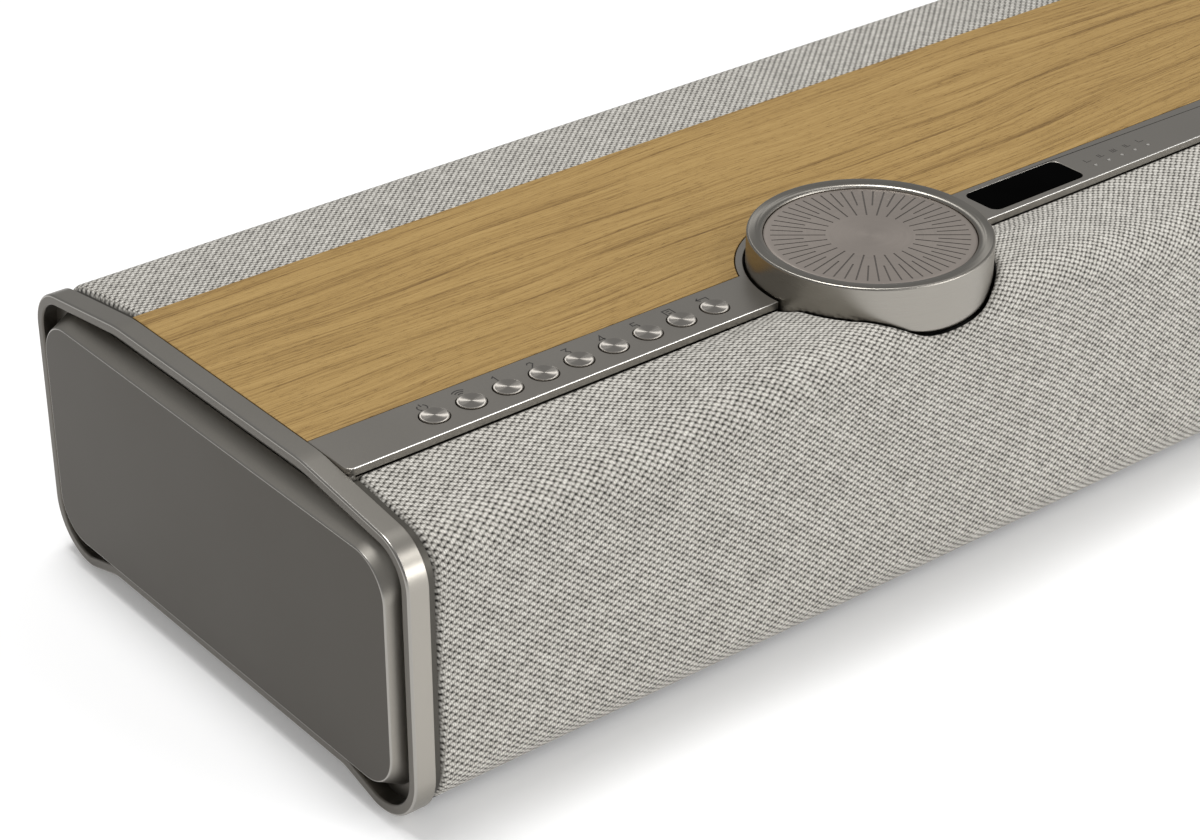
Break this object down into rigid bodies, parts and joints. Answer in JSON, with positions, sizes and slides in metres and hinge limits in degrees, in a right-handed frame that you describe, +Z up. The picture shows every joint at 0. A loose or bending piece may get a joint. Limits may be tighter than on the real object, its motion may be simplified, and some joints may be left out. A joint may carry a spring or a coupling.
{
  "type": "soundbar",
  "caption": "Long low loudspeaker bar with metal end frames, cloth front and rear, an oak top, a strip of push buttons and a large volume dial over its front edge.",
  "frame": {"origin": "on the surface that the feet stand on, below the middle of the end frames", "axes": "+X along the bar, to the right for someone in front of it; the front faces -Y; +Z up"},
  "size_m": [1.0046, 0.1985, 0.1122],
  "materials": {
    "frame_metal": "satin anodised, bead blasted, with a bright cut edge",
    "panel_metal": "darker satin anodised",
    "strip_metal": "satin anodised, bead blasted",
    "button_metal": "spun in fine circles",
    "dial_metal": "turned, satin, with engraved radial lines on the disc",
    "oak": "oiled oak, grain along the bar",
    "cloth": "coarse grey and ivory basket weave",
    "gloss_window": "polished black",
    "clear_plastic": "clear",
    "grey_plastic": "moulded grey",
    "black_plastic": "fine moulded texture",
    "rubber": "soft black",
    "fibreboard": "raw fibreboard",
    "circuit_board": "green solder mask",
    "driver_metal": "black powder coat",
    "cone_paper": "coated paper",
    "heat_sink_metal": "extruded",
    "steel": "plain"
  },
  "bodies": {
    "cabinet": {"end_frame_left": "frame_metal", "end_frame_right": "frame_metal", "end_panel_left": "panel_metal", "end_panel_right": "panel_metal", "control_strip": "strip_metal", "bulkhead_left": "fibreboard", "bulkhead_right": "fibreboard", "cabinet_top": "fibreboard", "cabinet_floor": "fibreboard", "front_baffle": "fibreboard", "cabinet_back": "fibreboard", "wood_top_panel": "oak", "button_board": "circuit_board", "display_module": "circuit_board", "main_board": "circuit_board", "power_supply": "circuit_board", "display_window": "gloss_window", "status_light_guide": "clear_plastic", "dial_bearing": "steel", "dial_cup": "grey_plastic", "rotary_encoder": "grey_plastic", "front_fabric": "cloth", "rear_fabric": "cloth", "front_grille_frame": "black_plastic", "rear_grille_frame": "black_plastic", "base_cover": "black_plastic", "connector_plate": "black_plastic", "connector_bay_frame": "black_plastic", "tweeter_left": "black_plastic", "tweeter_right": "black_plastic", "foot_front_left": "rubber", "foot_front_right": "rubber", "foot_rear_left": "rubber", "foot_rear_right": "rubber", "woofer_chassis_left": "driver_metal", "woofer_surround_left": "rubber", "woofer_chassis_centre": "driver_metal", "woofer_surround_centre": "rubber", "woofer_chassis_right": "driver_metal", "woofer_surround_right": "rubber", "heat_sink": "heat_sink_metal", "hdmi_socket": "steel", "network_socket": "steel", "mains_inlet": "black_plastic"},
    "volume_dial": {"volume_dial": "dial_metal", "dial_disc": "dial_metal", "dial_shaft": "steel"},
    "button_1": {"button_1": "button_metal"},
    "button_2": {"button_2": "button_metal"},
    "button_3": {"button_3": "button_metal"},
    "button_4": {"button_4": "button_metal"},
    "button_5": {"button_5": "button_metal"},
    "button_6": {"button_6": "button_metal"},
    "button_7": {"button_7": "button_metal"},
    "button_8": {"button_8": "button_metal"},
    "button_9": {"button_9": "button_metal"},
    "woofer_cone_left": {"woofer_cone_left": "cone_paper"},
    "woofer_cone_centre": {"woofer_cone_centre": "cone_paper"},
    "woofer_cone_right": {"woofer_cone_right": "cone_paper"}
  },
  "joints": [
    {"name": "volume_turn", "type": "hinge", "parent": "cabinet", "child": "volume_dial", "pos_m": [-0.2978, -0.0607, 0.1025], "axis": [0, 0, 1], "continuous": true},
    {"name": "button_1_press", "type": "slide", "parent": "cabinet", "child": "button_1", "axis": [0, 0, -1], "range_m": [0, 0.0007], "stiffness_N_per_m": 400, "springref_m": -0.0005},
    {"name": "button_2_press", "type": "slide", "parent": "cabinet", "child": "button_2", "axis": [0, 0, -1], "range_m": [0, 0.0007], "stiffness_N_per_m": 400, "springref_m": -0.0005},
    {"name": "button_3_press", "type": "slide", "parent": "cabinet", "child": "button_3", "axis": [0, 0, -1], "range_m": [0, 0.0007], "stiffness_N_per_m": 400, "springref_m": -0.0005},
    {"name": "button_4_press", "type": "slide", "parent": "cabinet", "child": "button_4", "axis": [0, 0, -1], "range_m": [0, 0.0007], "stiffness_N_per_m": 400, "springref_m": -0.0005},
    {"name": "button_5_press", "type": "slide", "parent": "cabinet", "child": "button_5", "axis": [0, 0, -1], "range_m": [0, 0.0007], "stiffness_N_per_m": 400, "springref_m": -0.0005},
    {"name": "button_6_press", "type": "slide", "parent": "cabinet", "child": "button_6", "axis": [0, 0, -1], "range_m": [0, 0.0007], "stiffness_N_per_m": 400, "springref_m": -0.0005},
    {"name": "button_7_press", "type": "slide", "parent": "cabinet", "child": "button_7", "axis": [0, 0, -1], "range_m": [0, 0.0007], "stiffness_N_per_m": 400, "springref_m": -0.0005},
    {"name": "button_8_press", "type": "slide", "parent": "cabinet", "child": "button_8", "axis": [0, 0, -1], "range_m": [0, 0.0007], "stiffness_N_per_m": 400, "springref_m": -0.0005},
    {"name": "button_9_press", "type": "slide", "parent": "cabinet", "child": "button_9", "axis": [0, 0, -1], "range_m": [0, 0.0007], "stiffness_N_per_m": 400, "springref_m": -0.0005},
    {"name": "woofer_left_stroke", "type": "slide", "parent": "cabinet", "child": "woofer_cone_left", "axis": [0, -1, 0], "range_m": [-0.003, 0.003], "stiffness_N_per_m": 1200, "deforming": ["woofer_surround_left"]},
    {"name": "woofer_centre_stroke", "type": "slide", "parent": "cabinet", "child": "woofer_cone_centre", "axis": [0, -1, 0], "range_m": [-0.003, 0.003], "stiffness_N_per_m": 1200, "deforming": ["woofer_surround_centre"]},
    {"name": "woofer_right_stroke", "type": "slide", "parent": "cabinet", "child": "woofer_cone_right", "axis": [0, -1, 0], "range_m": [-0.003, 0.003], "stiffness_N_per_m": 1200, "deforming": ["woofer_surround_right"]}
  ]
}
